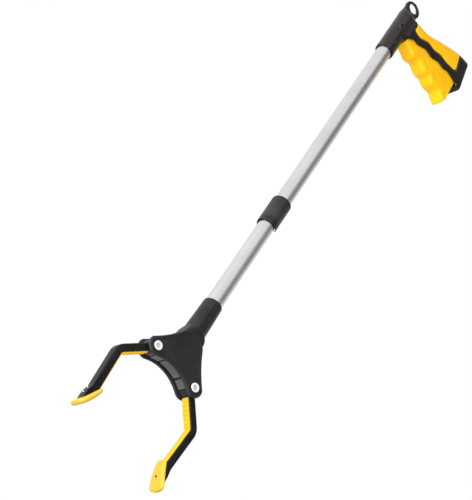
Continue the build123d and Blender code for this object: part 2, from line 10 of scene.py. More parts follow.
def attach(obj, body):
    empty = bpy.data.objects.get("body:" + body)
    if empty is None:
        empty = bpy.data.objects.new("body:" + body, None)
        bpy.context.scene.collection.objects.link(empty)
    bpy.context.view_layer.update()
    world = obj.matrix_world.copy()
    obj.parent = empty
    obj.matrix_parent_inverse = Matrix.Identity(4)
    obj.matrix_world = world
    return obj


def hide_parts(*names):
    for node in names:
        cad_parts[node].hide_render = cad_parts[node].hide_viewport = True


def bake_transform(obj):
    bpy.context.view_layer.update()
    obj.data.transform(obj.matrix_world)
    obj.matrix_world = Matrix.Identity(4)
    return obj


# Folding reacher grabber. Shapes are given in millimetres in the part's own frame:
# the tube lies along X, the jaws are toward -X, the grip hangs toward -Z, Y goes across.

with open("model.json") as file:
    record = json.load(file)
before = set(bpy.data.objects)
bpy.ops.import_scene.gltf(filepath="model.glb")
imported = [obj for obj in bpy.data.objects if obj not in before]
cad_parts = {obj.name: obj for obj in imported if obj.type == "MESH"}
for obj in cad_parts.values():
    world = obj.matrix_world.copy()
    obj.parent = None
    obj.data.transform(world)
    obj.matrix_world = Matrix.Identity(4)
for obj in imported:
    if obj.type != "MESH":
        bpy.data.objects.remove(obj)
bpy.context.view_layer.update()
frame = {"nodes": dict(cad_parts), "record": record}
MM = 0.001
SHARP_ANGLE = 32.0

# ---------------------------------------------------------------- dimensions
TUBE_R = 9.75
TUBE_BORE_R = 8.55
HOUSING_R = 12.2
GRIP_HALF = 14.0
BACK_DEPTH = 13.0
CAVITY_HALF = 11.25
BAND_SPREAD = 1.25
EYE_R = 7.3
EYE_HALF = 1.9
TRIGGER_HALF = 10.5
PIVOT_PIN = (-54.0, 3.4)

COLLAR_BACK = -403.5
COLLAR_FRONT = -444.5
COLLAR_R = 12.1
FOLD_X = -435.5
HEAD_TOP = -577.5
PIVOT_X = -675.5
PIVOT_Z = 31.0
PLATE_OUT = 11.0
PLATE_IN = 8.0
WEB_FAR = 4.4
LOBE_R = 11.0
ARCH_R = 48.0
ARCH_APEX = -2.2
FLANK_SAG = 2.6
NECK_X = HEAD_TOP - 42.0
NECK_LENGTH = 14.0
SOCKET_R = 12.35
SOCKET_TOP_R = 11.2
CABLE_Z = -6.6
CABLE_R = 0.75
CABLE_TWIST = 2.2
BEND_START = -428.0
BEND_END = -443.0
BEND_LAP = 4.0
YOKE_END = HEAD_TOP - 25.9

JAW_OPEN = math.radians(30.0)
ARM_HALF = 4.4
ELBOW = (40.6, 44.0)
KNEE = (11.4, 87.5)
TIP_START = 81.8
TIP_LENGTH = 33.6
TIP_BASE_HALF = 6.8
TIP_END_HALF = 11.0
INSERT_PLACE = 99.5

GRIP_FRONT = [
    (-64.0, -2.5), (-55.5, -13.6), (-49.6, -20.5), (-48.4, -29.0), (-41.0, -42.5), (-41.2, -55.0),
    (-35.6, -67.0), (-35.4, -78.0), (-31.4, -87.5), (-33.6, -105.5), (-36.9, -108.5), (-36.4, -115.0),
]
GRIP_BACK = [
    (-17.6, -2.5), (-17.6, -9.0), (-17.2, -24.0), (-13.6, -36.0), (0.5, -60.0), (14.2, -87.0),
    (18.2, -105.0),
]
PAD_TOP = -13.8
PAD_HEEL = (14.2, -87.2)
PAD_FRONT = [
    (-35.6, PAD_TOP), (-39.0, -17.4), (-38.8, -27.0), (-31.0, -40.5), (-30.4, -52.4), (-25.4, -66.0),
    (-25.2, -77.0), (-20.2, -92.4), (-16.4, -95.4),
]
PAD_BACK = [(-17.6, PAD_TOP), (-17.2, -24.0), (-13.6, -36.0), (0.5, -60.0), (14.2, -87.0)]
TRIGGER_FRONT = [
    (-62.6, -13.2), (-65.8, -26.0), (-68.8, -33.8), (-64.4, -44.5), (-69.2, -59.0), (-66.4, -68.0),
    (-70.2, -78.0), (-67.8, -90.5), (-73.6, -104.0), (-71.5, -106.6), (-68.0, -107.2),
]
TRIGGER_BACK = [
    (-47.0, -14.2), (-43.0, -28.0), (-37.0, -42.0), (-32.0, -66.0), (-28.0, -86.0), (-30.0, -106.8),
]


# ---------------------------------------------------------------- curves
def smooth_step(t):
    """Eases from 0 to 1 while t goes from 0 to 1."""
    t = min(1.0, max(0.0, t))
    return t * t * (3 - 2 * t)


def spread(points, shift):
    """The outline moved along X except at its two ends."""
    return points[:1] + [(x + shift, z) for x, z in points[1:-2]] + points[-2:]


def catmull(points, per=8):
    """Smooth line through the points."""
    out = []
    n = len(points)
    for i in range(n - 1):
        p0 = Vector(points[max(i - 1, 0)])
        p1 = Vector(points[i])
        p2 = Vector(points[i + 1])
        p3 = Vector(points[min(i + 2, n - 1)])
        for k in range(per):
            t = k / per
            a = 2 * p1 + (p2 - p0) * t
            b = (2 * p0 - 5 * p1 + 4 * p2 - p3) * t * t
            c = (3 * p1 - p0 - 3 * p2 + p3) * t**3
            out.append((a + b + c) / 2)
    out.append(Vector(points[-1]))
    return out


def spaced(points, count):
    """The same line cut into equal steps."""
    length = [0.0]
    for a, b in zip(points, points[1:]):
        length.append(length[-1] + (b - a).length)
    out = []
    j = 0
    for i in range(count):
        s = length[-1] * i / (count - 1)
        while j < len(points) - 2 and length[j + 1] < s:
            j += 1
        t = (s - length[j]) / max(length[j + 1] - length[j], 1e-9)
        out.append(points[j].lerp(points[j + 1], min(1.0, t)))
    return out


def arc(cx, cz, r, a0, a1, steps):
    """Points on a circle from angle a0 to a1, in degrees."""
    out = []
    for i in range(steps + 1):
        a = math.radians(a0 + (a1 - a0) * i / steps)
        out.append((cx + r * math.cos(a), cz + r * math.sin(a)))
    return out


def rounded_corner(a, corner, b, steps):
    """Curve from a to b that bends toward the corner between them."""
    shares = [i / steps for i in range(steps + 1)]
    return [a.lerp(corner, t).lerp(corner.lerp(b, t), t) for t in shares]


def area(points):
    """Area of a closed outline, negative when it runs clockwise."""
    return sum(a[0] * b[1] - b[0] * a[1] for a, b in zip(points, points[1:] + points[:1])) / 2


def pulled_in(points, d):
    """Closed outline moved inward by d."""
    n = len(points)
    out = []
    for i in range(n):
        a, b, c = (Vector(points[(i + k) % n]) for k in (-1, 0, 1))
        e1 = (b - a).normalized()
        e2 = (c - b).normalized()
        n1 = Vector((-e1.y, e1.x))
        n2 = Vector((-e2.y, e2.x))
        m = n1 + n2
        m = m.normalized() if m.length > 1e-6 else n1
        out.append(b + m * (d / max(0.45, m.dot(n1))))
    return out


def distance_to(line, x, z):
    """Shortest distance from each point to a line of points."""
    best = np.full(np.shape(x), 1e9)
    for a, b in zip(line, line[1:]):
        ex, ez = b[0] - a[0], b[1] - a[1]
        t = np.clip(((x - a[0]) * ex + (z - a[1]) * ez) / (ex * ex + ez * ez + 1e-12), 0, 1)
        best = np.minimum(best, np.hypot(x - a[0] - t * ex, z - a[1] - t * ez))
    return best


# ---------------------------------------------------------------- meshes
def piece(name, verts, faces, body, material, slot, nodes=()):
    """New object from millimetre points; it rides on a body and may stand for CAD nodes."""
    mesh = bpy.data.meshes.new(name)
    mesh.from_pydata([tuple(c * MM for c in v) for v in verts], [], faces)
    bm = bmesh.new()
    bm.from_mesh(mesh)
    bmesh.ops.remove_doubles(bm, verts=bm.verts, dist=0.004 * MM)
    bmesh.ops.dissolve_degenerate(bm, edges=bm.edges, dist=0.001 * MM)
    bmesh.ops.recalc_face_normals(bm, faces=bm.faces)
    bm.to_mesh(mesh)
    bm.free()
    mesh.polygons.foreach_set("use_smooth", [True] * len(mesh.polygons))
    mesh.set_sharp_from_angle(angle=math.radians(SHARP_ANGLE))
    mesh.materials.append(material)
    obj = bpy.data.objects.new(name, mesh)
    bpy.context.scene.collection.objects.link(obj)
    if body:
        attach(obj, body)
    if nodes:
        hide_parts(*nodes)
    return obj


def grid(rows, closed=False, caps=(False, False)):
    """Faces between rows of equally many points."""
    n = len(rows[0])
    verts = [p for row in rows for p in row]
    faces = []
    for r in range(len(rows) - 1):
        for c in range(n if closed else n - 1):
            d = (c + 1) % n
            faces.append((r * n + c, r * n + d, (r + 1) * n + d, (r + 1) * n + c))
    if caps[0]:
        faces.append(tuple(range(n)))
    if caps[1]:
        faces.append(tuple((len(rows) - 1) * n + c for c in range(n)))
    return verts, faces


def joined(*shapes):
    """Several shapes as one."""
    verts, faces = [], []
    for v, f in shapes:
        base = len(verts)
        verts += list(v)
        faces += [tuple(i + base for i in face) for face in f]
    return verts, faces


def plate(outline, rings):
    """Solid between two faces square to Y. Each ring is (inset, y), from one face to the other."""
    if area([tuple(p) for p in outline]) < 0:
        outline = outline[::-1]
    rows = [[(p[0], y, p[1]) for p in pulled_in(outline, inset)] for inset, y in rings]
    return grid(rows, closed=True, caps=(True, True))


def turned(profile, axis="x", at=(0.0, 0.0, 0.0), start=0.0, sweep=360.0, steps=96):
    """Surface of revolution. The profile is (place along the axis, radius)."""
    full = sweep >= 360.0
    rows = []
    for i in range(steps if full else steps + 1):
        a = math.radians(start + sweep * i / steps)
        c, s = math.cos(a), math.sin(a)
        if axis == "x":
            rows.append([(at[0] + u, at[1] + r * c, at[2] + r * s) for u, r in profile])
        else:
            rows.append([(at[0] + r * c, at[1] + u, at[2] + r * s) for u, r in profile])
    if full:
        rows.append(rows[0])
    return grid(rows)


def moved(shape, fn):
    return [fn(*v) for v in shape[0]], shape[1]


# ---------------------------------------------------------------- materials
def node(tree, kind, **inputs):
    made = tree.nodes.new(kind)
    for key, value in inputs.items():
        made.inputs[key.replace("_", " ")].default_value = value
    return made


def base_material(name, colour, rough, metallic=0.0):
    mat = bpy.data.materials.new(name)
    mat.use_nodes = True
    tree = mat.node_tree
    shader = tree.nodes["Principled BSDF"]
    shader.inputs["Base Color"].default_value = (*colour, 1)
    shader.inputs["Roughness"].default_value = rough
    shader.inputs["Metallic"].default_value = metallic
    place = tree.nodes.new("ShaderNodeTexCoord")
    return mat, tree, shader, place.outputs["Object"]


def noise(tree, place, scale, detail=3.0, stretch=None):
    tex = node(tree, "ShaderNodeTexNoise", Scale=scale, Detail=detail)
    if stretch:
        mapping = tree.nodes.new("ShaderNodeMapping")
        mapping.inputs["Scale"].default_value = stretch
        tree.links.new(place, mapping.inputs["Vector"])
        place = mapping.outputs["Vector"]
    tree.links.new(place, tex.inputs["Vector"])
    return tex.outputs["Fac"]


def ramp(tree, value, low, high, at=(0.3, 0.7)):
    made = tree.nodes.new("ShaderNodeValToRGB")
    made.color_ramp.elements[0].position = at[0]
    made.color_ramp.elements[1].position = at[1]
    made.color_ramp.elements[0].color = (*low, 1)
    made.color_ramp.elements[1].color = (*high, 1)
    tree.links.new(value, made.inputs["Fac"])
    return made.outputs["Color"]


def level_of(tree, value, low, high):
    made = node(tree, "ShaderNodeMapRange", To_Min=low, To_Max=high)
    made.inputs["From Min"].default_value = 0.3
    made.inputs["From Max"].default_value = 0.7
    tree.links.new(value, made.inputs["Value"])
    return made.outputs["Result"]


def bump(tree, shader, value, strength, depth, under=None):
    made = node(tree, "ShaderNodeBump", Strength=strength, Distance=depth * MM)
    tree.links.new(value, made.inputs["Height"])
    if under is not None:
        tree.links.new(under, made.inputs["Normal"])
    tree.links.new(made.outputs["Normal"], shader.inputs["Normal"])
    return made.outputs["Normal"]


def moulded(name, dark, light, rough, grain=1700.0, depth=0.05, specular=0.4):
    """Moulded plastic or rubber: fine grain, slow mottling of colour and gloss, and convex edges paled
    toward a lighter colour as a painted highlight.
    """
    mat, tree, shader, place = base_material(name, dark, rough)
    shader.inputs["Specular IOR Level"].default_value = specular
    slow = noise(tree, place, 55.0, 4.0)
    fine = noise(tree, place, grain, 2.0)
    colour = ramp(tree, slow, dark, light)
    # Convex edges found by pointiness are paled: a painted highlight along bevels and rims.
    edge = tree.nodes.new("ShaderNodeNewGeometry").outputs["Pointiness"]
    edge_highlight = ramp(tree, edge, (0, 0, 0), (1, 1, 1), (0.52, 0.62))
    mix = node(tree, "ShaderNodeMix")
    mix.data_type = "RGBA"
    tree.links.new(edge_highlight, mix.inputs[0])
    tree.links.new(colour, mix.inputs[6])
    mix.inputs[7].default_value = (*[min(1.0, c * 1.35 + 0.012) for c in light], 1)
    tree.links.new(mix.outputs[2], shader.inputs["Base Color"])
    tree.links.new(level_of(tree, slow, rough - 0.06, rough + 0.08), shader.inputs["Roughness"])
    first = bump(tree, shader, fine, 0.55, depth)
    bump(tree, shader, slow, 0.2, 0.05, first)
    return mat


def metal(name, low, high, rough, along=None, scale=900.0, depth=0.008, metallic=1.0):
    """Metal with drawn or turned streaks."""
    mat, tree, shader, place = base_material(name, low, rough, metallic)
    streak = noise(tree, place, scale, 3.0, along)
    cloud = noise(tree, place, 28.0, 4.0)
    tree.links.new(ramp(tree, cloud, low, high), shader.inputs["Base Color"])
    tree.links.new(level_of(tree, streak, rough - 0.05, rough + 0.07), shader.inputs["Roughness"])
    bump(tree, shader, streak, 0.35, depth)
    return mat


BLACK = moulded("black_plastic", (0.0095, 0.0098, 0.0102), (0.016, 0.0163, 0.0168), 0.40, specular=0.33)
# Darker, less glossy copy of the black plastic for the jaw arms: the darker colour is painted shade that
# keeps the arms' lit back faces dark.
ARM_PAINTED_SHADE = moulded("black_arm_painted_shade", (0.0055, 0.0056, 0.006), (0.010, 0.0102, 0.0106), 0.33, specular=0.2)
HOUSING = moulded(
    "black_housing", (0.009, 0.0072, 0.0072), (0.016, 0.013, 0.013), 0.27, grain=2200.0, depth=0.02
)
WEB = moulded("grey_web", (0.045, 0.045, 0.047), (0.085, 0.085, 0.087), 0.5)
YELLOW = moulded(
    "yellow_grip", (0.97, 0.50, 0.001), (1.0, 0.565, 0.003), 0.44,
    grain=1300.0, depth=0.03, specular=0.22,
)
SOFT = {"rough": 0.5, "grain": 1500.0, "depth": 0.03, "specular": 0.2}
LINER = moulded("yellow_liner", (0.76, 0.38, 0.003), (0.83, 0.43, 0.006), **SOFT)
TIP = moulded("yellow_tip", (0.62, 0.375, 0.028), (0.68, 0.42, 0.042), **SOFT)
TUBE = metal("satin_tube", (0.76, 0.76, 0.765), (0.83, 0.83, 0.835), 0.30, (0.02, 1, 1), 1400.0)
STEEL = metal("drawn_steel", (0.50, 0.50, 0.51), (0.62, 0.62, 0.62), 0.30)
# Rivet look: near-white and only partly metallic, a painted reflection standing in for the bright room
# mirrored in polished steel.
NICKEL_PAINTED_REFLECTION = metal("nickel_painted_reflection", (0.93, 0.93, 0.92), (0.98, 0.98, 0.97), 0.25, None, 2500.0, 0.004, 0.35)
# Greyer look for the rivet dimples: painted shade in the recess.
DIMPLE_PAINTED_SHADE = metal("nickel_dimple_painted_shade", (0.62, 0.60, 0.59), (0.75, 0.73, 0.71), 0.35, None, 2500.0, 0.004, 0.5)
# Dark matte look for the pins in DARK_PINS, the tip insert and the rings round the rivet heads; on the
# insert and the rings it is painted shade.
DARK = moulded("dark_insert_and_painted_shade", (0.006, 0.006, 0.006), (0.012, 0.012, 0.013), 0.5, specular=0.2)
SLOT_LOOK = {
    "black_plastic": BLACK,
    "yellow_grip": YELLOW,
    "yellow_rubber": TIP,
    "anodised_tube": TUBE,
    "steel": STEEL,
    "bright_steel": NICKEL_PAINTED_REFLECTION,
}
DARK_PINS = ("socket_pin", "trigger_pivot_pin", "tube_rivet")


def dress_cad_nodes():
    """Gives every CAD node the look of its material slot, except the pins in DARK_PINS, which get the dark
    matte look.
    """
    for entry in frame["record"]["subparts"]:
        obj = frame["nodes"][entry["node"]]
        look = DARK if entry["node"] in DARK_PINS else SLOT_LOOK[entry["material_slot"]]
        obj.data.materials.clear()
        obj.data.materials.append(look)


# ---------------------------------------------------------------- handle
PAD_EDGE = catmull(spread(PAD_FRONT, BAND_SPREAD))
PAD_BORDER = [Vector((-8.0, PAD_TOP))] + PAD_EDGE + [Vector(PAD_HEEL), Vector((30.0, -82.9))]
PAD_LINE_X = np.array([p[0] for p in PAD_EDGE])
PAD_LINE_Z = np.array([p[1] for p in PAD_EDGE])


def inside_pad(x, z):
    """Distance inside the soft pad's outline; negative outside it."""
    edge_x = np.interp(-z, -PAD_LINE_Z, PAD_LINE_X)
    toe_x, toe_z = PAD_FRONT[-1]
    heel_x, heel_z = PAD_HEEL
    floor_z = toe_z + (x - toe_x) * (heel_z - toe_z) / (heel_x - toe_x)
    within = (x > edge_x) & (z < PAD_TOP) & (z > floor_z)
    return np.where(within, 1.0, -1.0) * distance_to(PAD_BORDER, x, z)


def section(front, back, half_width, d):
    """Point and outward direction at distance d behind the front edge, with a rounded back."""
    line = back - front
    length = line.length
    flat = length - BACK_DEPTH
    if d <= flat:
        p = front + line * (d / length)
        return (p.x, half_width, p.y), (0.0, 1.0)
    turn = (d - flat) / BACK_DEPTH
    a = turn * math.pi / 2
    p = front + line * ((flat + BACK_DEPTH * math.sin(a)) / length)
    nx, ny = math.sin(a) / BACK_DEPTH, math.cos(a) / half_width
    size = math.hypot(nx, ny)
    return (p.x, half_width * math.cos(a), p.y), (nx / size, ny / size)


def grip_rows(fronts, backs, across, lift, width_of, lip):
    """Rows of points on the +Y half of the grip, raised by lift(x, z, distance from the front)."""
    rows = []
    for f, b in zip(fronts, backs):
        length = (b - f).length
        row = []
        for i in range(across):
            d = length * i / (across - 1)
            (x, y, z), (nx, ny) = section(f, b, width_of(f.y + (b.y - f.y) * i / across), d)
            row.append((x, y, z, nx, ny, d))
        rows.append(row)
    data = np.array(rows)
    h = lift(data[:, :, 0], data[:, :, 2], data[:, :, 5])
    data[:, :, 0] += data[:, :, 3] * h
    data[:, :, 1] = np.maximum(data[:, :, 1] + data[:, :, 4] * h, 0.0)
    out = []
    for r, f in zip(data, fronts):
        points = [tuple(p[:3]) for p in r]
        if lip:
            x, y, z = points[0]
            inner = [(x + 7.0, CAVITY_HALF, z), (x + 0.9, CAVITY_HALF, z), (x + 0.25, y - 0.8, z)]
            points = inner + points
        out.append(points)
    return out


def grip_width(z):
    return GRIP_HALF - 1.75 * (1 - smooth_step((-z - 2.0) / 11.0))


def grip_side():
    count = 170
    waves = catmull(spread(GRIP_FRONT, -BAND_SPREAD)[:-2])
    fronts = spaced(waves + [Vector(p) for p in GRIP_FRONT[-2:]], count)
    backs = spaced([Vector(p) for p in GRIP_BACK[:2]] + catmull(GRIP_BACK[2:]), count)

    def lift(x, z, d):
        s = inside_pad(x, z)
        near = np.minimum(d, -s) / 3.6
        t = np.clip(near, 0, 1)
        crown = -1.7 * (1 - t * (2 - t))
        under = -1.3 - 0.5 * np.clip(s / 0.6, 0, 1)
        return np.where(s > 0, under, crown)

    rows = grip_rows(fronts, backs, 84, lift, grip_width, True)
    base = rows[-1]
    rows.append([(x, max(0.0, y - 0.5), z - 0.35) for x, y, z in base])
    rows.append([(x * 0.985 - 0.1, max(0.0, y - 1.6), z - 0.55) for x, y, z in base])
    rows.append([(x * 0.985 - 0.1, 0.0, z - 0.55) for x, y, z in base])
    return grid(rows)


def pad_shape():
    count = 120
    fronts = spaced(PAD_EDGE, count)
    backs = spaced([Vector(PAD_BACK[0])] + catmull(PAD_BACK[1:]), count)

    def lift(x, z, d):
        s = np.maximum(inside_pad(x, z), 0.0)
        t = np.clip(s / 1.7, 0, 1)
        swell = np.clip(s / 9.0, 0, 1)
        return -1.55 + 1.75 * np.sqrt(1 - (1 - t) ** 2) + 0.25 * swell * (2 - swell)

    half_rows = grip_rows(fronts, backs, 72, lift, grip_width, False)
    rows = [row + [(x, -y, z) for x, y, z in row[-2::-1]] for row in half_rows]
    return grid(rows)


def barrel_side():
    """The +Y half of the barrel: round, then flattened to the eye's thickness."""
    steps = 56
    mouth = [(-90.0, 9.9), (-94.0, 10.4), (-97.5, 10.5), (-98.0, 10.9)]
    mouth += [(-98.0, 11.5), (-97.85, 11.9), (-97.5, 12.15)]
    stations = [(x, r, r, 2.0) for x, r in mouth]
    for i in range(46):
        x = -96.8 + (96.8 - 8.0) * i / 45
        if x < -27:
            half = HOUSING_R
        elif x < -9.0:
            half = EYE_HALF + (HOUSING_R - EYE_HALF) * (1 - smooth_step((x + 27.0) / 18.0))
        else:
            half = EYE_HALF
        tall = HOUSING_R - 0.35 * smooth_step((x + 25) / 14)
        square = 2.0 + 1.6 * smooth_step((x + 28) / 14)
        stations.append((x, half, tall, square))
    rows = []
    for x, half, tall, square in stations:
        row = []
        for i in range(steps + 1):
            a = -math.pi / 2 + math.pi * i / steps
            y = half * abs(math.cos(a)) ** (2 / square)
            z = tall * math.copysign(abs(math.sin(a)) ** (2 / square), math.sin(a))
            row.append((x, y if 0 < i < steps else 0.0, z))
        rows.append(row)
    x = stations[-1][0]
    rows.append([(x + 0.3, p[1] * 0.8, p[2]) for p in rows[-1]])
    rows.append([(x + 0.3, 0.0, p[2]) for p in rows[-1]])
    return grid(rows)


def eye_ring(side):
    """Half the thickness of the hanging eye, an egg-shaped ring round the hole."""
    steps = 112
    rows = []
    for i in range(steps + 1):
        a = 2 * math.pi * i / steps
        c, s = math.cos(a), math.sin(a)
        b = 3.0 * c
        outer = -b + math.sqrt(b * b + 12.35**2 - 9.0)
        outer = min(outer, 13.0)
        profile = [(EYE_R, 0.0), (EYE_R, 1.1), (EYE_R + 0.2, 1.6), (EYE_R + 0.6, EYE_HALF)]
        profile += [(outer - 0.7, EYE_HALF), (outer - 0.25, 1.6), (outer, 1.0), (outer, 0.0)]
        rows.append([(r * c, side * y, r * s) for r, y in profile])
    return grid(rows)


def flipped(shape):
    """The same shape on the other side of the tool."""
    return moved(shape, lambda x, y, z: (x, -y, z))


def pivot_boss():
    """Raised ring round the trigger pin's head, and the small plug near the mouth."""
    ring = [(-10.6, 5.1), (-11.9, 4.95), (-12.45, 4.6), (-12.5, 4.25)]
    ring += [(-12.2, 3.85), (-11.2, 3.7), (-10.9, 3.6)]
    boss = turned(ring, "y", (PIVOT_PIN[0], 0.0, PIVOT_PIN[1]), steps=64)
    cup = [(-11.9, 2.1), (-12.5, 2.0), (-12.75, 1.7), (-12.85, 1.2), (-12.6, 0.6), (-12.5, 0.001)]
    plug = turned(cup, "y", (-84.9, 0.0, 0.0), steps=40)
    return joined(boss, plug)


def parting_bead(side):
    """Thin raised line where the two shells meet, under the barrel."""
    place = math.radians(-11.0)
    rows = []
    for x in np.linspace(-95.5, -27.0, 40):
        row = []
        for k, up in ((-0.05, -0.1), (-0.03, 0.22), (0.0, 0.32), (0.03, 0.22), (0.05, -0.1)):
            a = place + k
            row.append((x, side * (HOUSING_R + up) * math.cos(a), (HOUSING_R + up) * math.sin(a)))
        rows.append(row)
    return grid(rows)


def base_ribs():
    """Low ribs across the front of the base."""
    shapes = []
    for k in range(4):
        z = -109.2 - 1.5 * k
        x = -36.9 + 0.1 * k
        outline = [(x - 0.35, z + 0.35), (x - 0.35, z - 0.35), (x + 2.0, z - 0.45), (x + 2.0, z + 0.45)]
        shapes.append(plate(outline, [(0.1, -12.6), (0.0, -12.2), (0.0, 12.2), (0.1, 12.6)]))
    return joined(*shapes)


def trigger_shape():
    count = 150
    fronts = spaced(catmull(TRIGGER_FRONT, 8), count)
    backs = spaced(catmull(TRIGGER_BACK, 6), count)
    chord_a = Vector(TRIGGER_FRONT[0])
    chord_b = Vector(TRIGGER_FRONT[8])
    chord = (chord_b - chord_a).normalized()
    rows = []
    for n, (f, b) in enumerate(zip(fronts, backs)):
        out = (f - chord_a).cross(chord)
        wave = max(-1.0, min(1.0, (abs(out) - 2.2) / 2.2))
        line = b - f
        length = line.length
        end = 1.0
        tail = (n / (count - 1) - 0.955) / 0.045
        if tail > 0:
            end = math.sqrt(max(0.0, 1 - tail * tail)) * 0.45 + 0.55
        top = max(0.0, 1 - n / 5.0)
        half = TRIGGER_HALF * end - 1.4 * top
        depth = min(7.5, length * 0.4)
        row = []
        for i in range(26):
            a = math.pi / 2 * i / 25
            y = half * math.sin(a) ** (2 / 2.7)
            d = depth * (1 - math.cos(a) ** (2 / 2.7))
            p = f + line * (d / length)
            row.append((p.x, y, p.y))
        for i in range(1, 22):
            d = depth + (length - depth) * i / 21
            p = f + line * (d / length)
            hump = math.exp(-(((d - 11.0) / 6.5) ** 2))
            rise = 1 - math.exp(-(((d - depth) / 3.0) ** 2))
            row.append((p.x, half + 0.42 * wave * hump * rise, p.y))
        rows.append([(x, -y, z) for x, y, z in row[:0:-1]] + row)
    last = rows[-1]
    rows.append([(x + 0.1, y * 0.93, z - 0.18) for x, y, z in last])
    rows.append([(x + 0.1, 0.0, z - 0.2) for x, y, z in last])
    first = rows[0]
    rows.insert(0, [(x, 0.0, z + 0.1) for x, y, z in first])
    return grid(rows)


def build_handle():
    side = joined(grip_side(), barrel_side())
    right = joined(side, eye_ring(1), parting_bead(1))
    left = joined(flipped(side), eye_ring(-1), parting_bead(-1), pivot_boss())
    piece("handle_side_right", *right, "handle", HOUSING, "black_plastic", ["handle_shell_right"])
    piece("handle_side_left", *left, "handle", HOUSING, "black_plastic", ["handle_shell_left"])
    piece("handle_base_ribs", *base_ribs(), "handle", BLACK, "black_plastic")
    piece("rear_pad", *pad_shape(), "handle", YELLOW, "yellow_grip", ["rear_grip_pad"])
    piece("trigger_blade", *trigger_shape(), "trigger", YELLOW, "yellow_grip", ["trigger"])


# ---------------------------------------------------------------- tubes, collar and fold
def tube_profile(x0, x1):
    inner, chamfer = TUBE_BORE_R, 0.25
    return [
        (x0 + chamfer, inner), (x0, inner + chamfer), (x0, TUBE_R - chamfer), (x0 + chamfer, TUBE_R),
        ((x0 + x1) / 2, TUBE_R), (x1 - chamfer, TUBE_R), (x1, TUBE_R - chamfer), (x1, inner + chamfer),
        (x1 - chamfer, inner), (x0 + chamfer, inner),
    ]


def collar_profile():
    a, b, r = COLLAR_FRONT, COLLAR_BACK, COLLAR_R
    outer = [(a + 1.4, 10.8), (a + 0.5, 10.85), (a + 0.1, 11.05), (a, 11.35), (a + 0.1, 11.75)]
    outer += [(a + 0.5, r), (a + 1.4, r), (a + 4.0, r - 0.02), (b - 4.0, r - 0.02), (b - 1.4, r)]
    outer += [(b - 0.5, r - 0.08), (b - 0.1, r - 0.4), (b, 11.2), (b - 0.1, 10.5), (b - 0.4, 10.0)]
    outer += [(b - 1.2, 9.82), (b - 9.0, 9.82), (b - 9.3, 10.8)]
    return outer + [outer[0]]


def build_tubes():
    long_tube = turned(tube_profile(FOLD_X + 6.0, -66.2), steps=128)
    short_tube = turned(tube_profile(HEAD_TOP - 40.0, FOLD_X - 8.6), steps=128)
    piece("tube_long", *long_tube, "handle", TUBE, "anodised_tube", ["upper_tube"])
    piece("tube_short", *short_tube, "lower_section", TUBE, "anodised_tube", ["lower_tube"])
    collar = notched_collar()
    piece("collar_sleeve", *collar, "collar", BLACK, "black_plastic", ["lock_collar"])


def notched_collar():
    """Sleeve with a slot underneath at the jaw end, which clears the hinge knuckles."""
    half_slot = math.degrees(math.asin(4.7 / COLLAR_R))
    body = collar_profile()
    front = [p for p in body[:-1] if p[0] < FOLD_X]
    slot_end = FOLD_X + 2.5
    rear = [p for p in body[:-1] if p[0] >= FOLD_X]
    ring = [(slot_end, 10.8), (slot_end, COLLAR_R - 0.02)] + rear
    ring.append(ring[0])
    sleeve = turned(ring, steps=128)
    lip = [(slot_end + 0.1, 10.8)] + front + [(slot_end + 0.1, COLLAR_R - 0.02)]
    lip.append(lip[0])
    cut = turned(lip, start=-90.0 + half_slot, sweep=360.0 - 2 * half_slot, steps=120)
    n = len(lip)
    ends = [tuple(range(n - 1)), tuple(120 * n + c for c in range(n - 1))]
    return joined(sleeve, (cut[0], cut[1] + ends))


def build_cable():
    """One steel cable from the trigger to the yoke; the stretch at the fold is a separate piece that rides
    on no body.
    """
    def rope(x0, x1):
        rows = []
        count = max(8, int(abs(x1 - x0) / 0.9))
        for i in range(count + 1):
            x = x0 + (x1 - x0) * i / count
            row = []
            for k in range(18):
                a = 2 * math.pi * k / 18
                r = CABLE_R * (0.94 + 0.06 * math.cos(6 * (a - x * CABLE_TWIST / 6)))
                row.append((x, r * math.cos(a), CABLE_Z + r * math.sin(a)))
            rows.append(row)
        return grid(rows, closed=True, caps=(True, True))

    long_part = rope(PIVOT_PIN[0], BEND_START + BEND_LAP)
    short_part = rope(BEND_END - BEND_LAP, YOKE_END)
    piece("cable_long", *long_part, "pull_cable", STEEL, "steel", ["cable_upper"])
    piece("cable_short", *short_part, "yoke", STEEL, "steel", ["cable_lower"])
    bend = piece("cable_bend", *rope(BEND_START, BEND_END), None, STEEL, "steel")
    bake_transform(bend)


# ---------------------------------------------------------------- head
def flank_line():
    """Upper flank of the head from the lobe to the neck, slightly hollow."""
    neck = Vector((HEAD_TOP - 48.0, 10.4))
    dx, dz = neck.x - PIVOT_X, neck.y - PIVOT_Z
    tangent = math.atan2(dz, dx) + math.acos(LOBE_R / math.hypot(dx, dz)) + math.radians(9.0)
    outward = Vector((math.cos(tangent), math.sin(tangent)))
    lobe = Vector((PIVOT_X, PIVOT_Z)) + outward * LOBE_R
    pull = (lobe + neck) / 2 - outward * 2 * FLANK_SAG
    return math.degrees(tangent), rounded_corner(lobe, pull, neck, 22)


LOBE_ANGLE, FLANK = flank_line()


def flank_z(x):
    return float(np.interp(x, [p.x for p in FLANK], [p.y for p in FLANK]))


